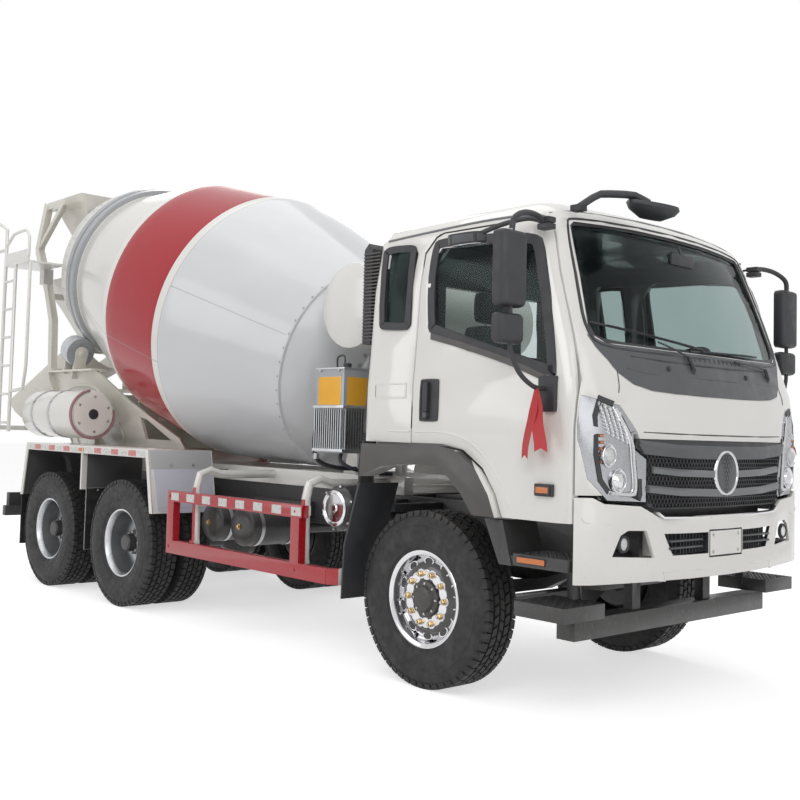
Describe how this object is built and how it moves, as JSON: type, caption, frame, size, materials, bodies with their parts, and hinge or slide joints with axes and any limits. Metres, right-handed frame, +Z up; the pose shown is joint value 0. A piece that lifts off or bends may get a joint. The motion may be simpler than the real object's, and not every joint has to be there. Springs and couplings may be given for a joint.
{
  "type": "concrete mixer truck",
  "caption": "Concrete mixer truck with a forward tilting cab, an inclined turning drum on rollers, a charging hopper and a swinging discharge chute.",
  "frame": {"origin": "on the ground, below the middle of the truck in plan", "axes": "+X towards the front of the truck, +Y to its left, +Z up"},
  "size_m": [8.8054, 3.14, 3.9595],
  "materials": {
    "white_paint": "warm white gloss paint",
    "red_paint": "red gloss paint",
    "black_paint": "black chassis paint",
    "grey_paint": "grey satin paint",
    "drum_paint": "white gloss paint with a red band",
    "plastic": "dark grey moulded plastic",
    "steel": "bare and machined steel",
    "chrome": "polished wheel",
    "tyre_rubber": "black tyre rubber",
    "glass": "lightly tinted glass",
    "lamp": "clear lamp cover over bright reflectors",
    "seat_fabric": "woven seat cloth",
    "aluminium": "brushed aluminium tank"
  },
  "bodies": {
    "chassis": {"chassis_frame": "black_paint", "sub_frame": "white_paint", "bumper": "white_paint", "engine_block": "black_paint", "front_axle": "black_paint", "rear_axles": "black_paint", "fuel_tank": "aluminium", "air_tanks": "black_paint", "air_cleaner": "black_paint", "oil_cooler": "grey_paint", "rear_bumper": "black_paint", "front_pedestal": "white_paint", "rear_pedestal": "white_paint", "water_tank": "white_paint", "additive_tank": "white_paint", "charge_hopper": "white_paint", "ladder": "white_paint", "chute_post": "white_paint", "side_guard_right": "red_paint", "side_guard_left": "red_paint", "rear_fender_right": "white_paint", "rear_fender_left": "white_paint", "front_mudguard_right": "plastic", "front_mudguard_left": "plastic", "steps_right": "black_paint", "steps_left": "black_paint"},
    "cab": {"cab_shell": "white_paint", "windshield": "glass", "grille": "plastic", "headlight_right": "lamp", "headlight_left": "lamp", "dashboard": "plastic", "seat_driver": "seat_fabric", "seat_passenger": "seat_fabric", "front_mirror": "plastic", "intake_snorkel": "grey_paint"},
    "drum": {"drum": "drum_paint"},
    "chute_bracket": {"chute_bracket": "white_paint"},
    "chute": {"main_chute": "white_paint"},
    "tie_rod": {"tie_rod": "black_paint"},
    "door_right": {"door_right": "white_paint", "door_glass_right": "glass", "mirrors_right": "plastic"},
    "drum_roller_right": {"drum_roller_right": "steel"},
    "knuckle_right": {"knuckle_right": "black_paint"},
    "front_wheel_right": {"front_wheel_right": "chrome", "front_tyre_right": "tyre_rubber"},
    "mid_wheels_right": {"mid_wheels_right": "tyre_rubber"},
    "rear_wheels_right": {"rear_wheels_right": "tyre_rubber"},
    "door_left": {"door_left": "white_paint", "door_glass_left": "glass", "mirrors_left": "plastic"},
    "drum_roller_left": {"drum_roller_left": "steel"},
    "knuckle_left": {"knuckle_left": "black_paint"},
    "front_wheel_left": {"front_wheel_left": "chrome", "front_tyre_left": "tyre_rubber"},
    "mid_wheels_left": {"mid_wheels_left": "tyre_rubber"},
    "rear_wheels_left": {"rear_wheels_left": "tyre_rubber"}
  },
  "joints": [
    {"name": "cab_tilt", "type": "hinge", "parent": "chassis", "child": "cab", "pos_m": [4.3177, 0, 1.215], "axis": [0, 1, 0], "range_deg": [0, 50]},
    {"name": "door_right_hinge", "type": "hinge", "parent": "cab", "child": "door_right", "pos_m": [4.1827, -1.188, 1.7], "axis": [0, 0, 1], "range_deg": [0, 65]},
    {"name": "door_left_hinge", "type": "hinge", "parent": "cab", "child": "door_left", "pos_m": [4.1827, 1.188, 1.7], "axis": [0, 0, -1], "range_deg": [0, 65]},
    {"name": "steer_right", "type": "hinge", "parent": "chassis", "child": "knuckle_right", "pos_m": [3.0577, -0.85, 0.526], "axis": [0, 0, 1], "range_deg": [-35, 35]},
    {"name": "steer_left", "type": "hinge", "parent": "chassis", "child": "knuckle_left", "pos_m": [3.0577, 0.85, 0.526], "axis": [0, 0, 1], "range_deg": [-35, 35]},
    {"name": "tie_rod_end", "type": "hinge", "parent": "knuckle_right", "child": "tie_rod", "pos_m": [2.8777, -0.85, 0.44], "axis": [0, 0, 1], "range_deg": [-35, 35]},
    {"name": "front_wheel_right_spin", "type": "hinge", "parent": "knuckle_right", "child": "front_wheel_right", "pos_m": [3.0577, -0.975, 0.526], "axis": [0, 1, 0], "continuous": true},
    {"name": "front_wheel_left_spin", "type": "hinge", "parent": "knuckle_left", "child": "front_wheel_left", "pos_m": [3.0577, 0.975, 0.526], "axis": [0, 1, 0], "continuous": true},
    {"name": "mid_wheels_right_spin", "type": "hinge", "parent": "chassis", "child": "mid_wheels_right", "pos_m": [-0.3853, -0.9405, 0.526], "axis": [0, 1, 0], "continuous": true},
    {"name": "mid_wheels_left_spin", "type": "hinge", "parent": "chassis", "child": "mid_wheels_left", "pos_m": [-0.3853, 0.9405, 0.526], "axis": [0, 1, 0], "continuous": true},
    {"name": "rear_wheels_right_spin", "type": "hinge", "parent": "chassis", "child": "rear_wheels_right", "pos_m": [-1.7353, -0.9405, 0.526], "axis": [0, 1, 0], "continuous": true},
    {"name": "rear_wheels_left_spin", "type": "hinge", "parent": "chassis", "child": "rear_wheels_left", "pos_m": [-1.7353, 0.9405, 0.526], "axis": [0, 1, 0], "continuous": true},
    {"name": "drum_spin", "type": "hinge", "parent": "chassis", "child": "drum", "pos_m": [0.3577, 0, 2.29], "axis": [0.9563, 0, -0.2924], "continuous": true},
    {"name": "roller_right_spin", "type": "hinge", "parent": "chassis", "child": "drum_roller_right", "pos_m": [-2.3337, -0.6981, 2.2429], "axis": [0.9563, 0, -0.2924], "continuous": true},
    {"name": "roller_left_spin", "type": "hinge", "parent": "chassis", "child": "drum_roller_left", "pos_m": [-2.3337, 0.6981, 2.2429], "axis": [0.9563, 0, -0.2924], "continuous": true},
    {"name": "chute_swing", "type": "hinge", "parent": "chassis", "child": "chute_bracket", "pos_m": [-3.1423, 0, 1.9], "axis": [0, 0, 1], "range_deg": [-90, 60]},
    {"name": "chute_tilt", "type": "hinge", "parent": "chute_bracket", "child": "chute", "pos_m": [-3.1423, 0, 2.2], "axis": [-0.2588, 0.9659, 0], "range_deg": [-16, 24]}
  ],
  "couplings": [
    {"joint": "steer_left", "follows": "steer_right", "ratio": 1},
    {"joint": "tie_rod_end", "follows": "steer_right", "ratio": -1},
    {"joint": "roller_right_spin", "follows": "drum_spin", "ratio": -6.2333},
    {"joint": "roller_left_spin", "follows": "drum_spin", "ratio": -6.2333}
  ]
}
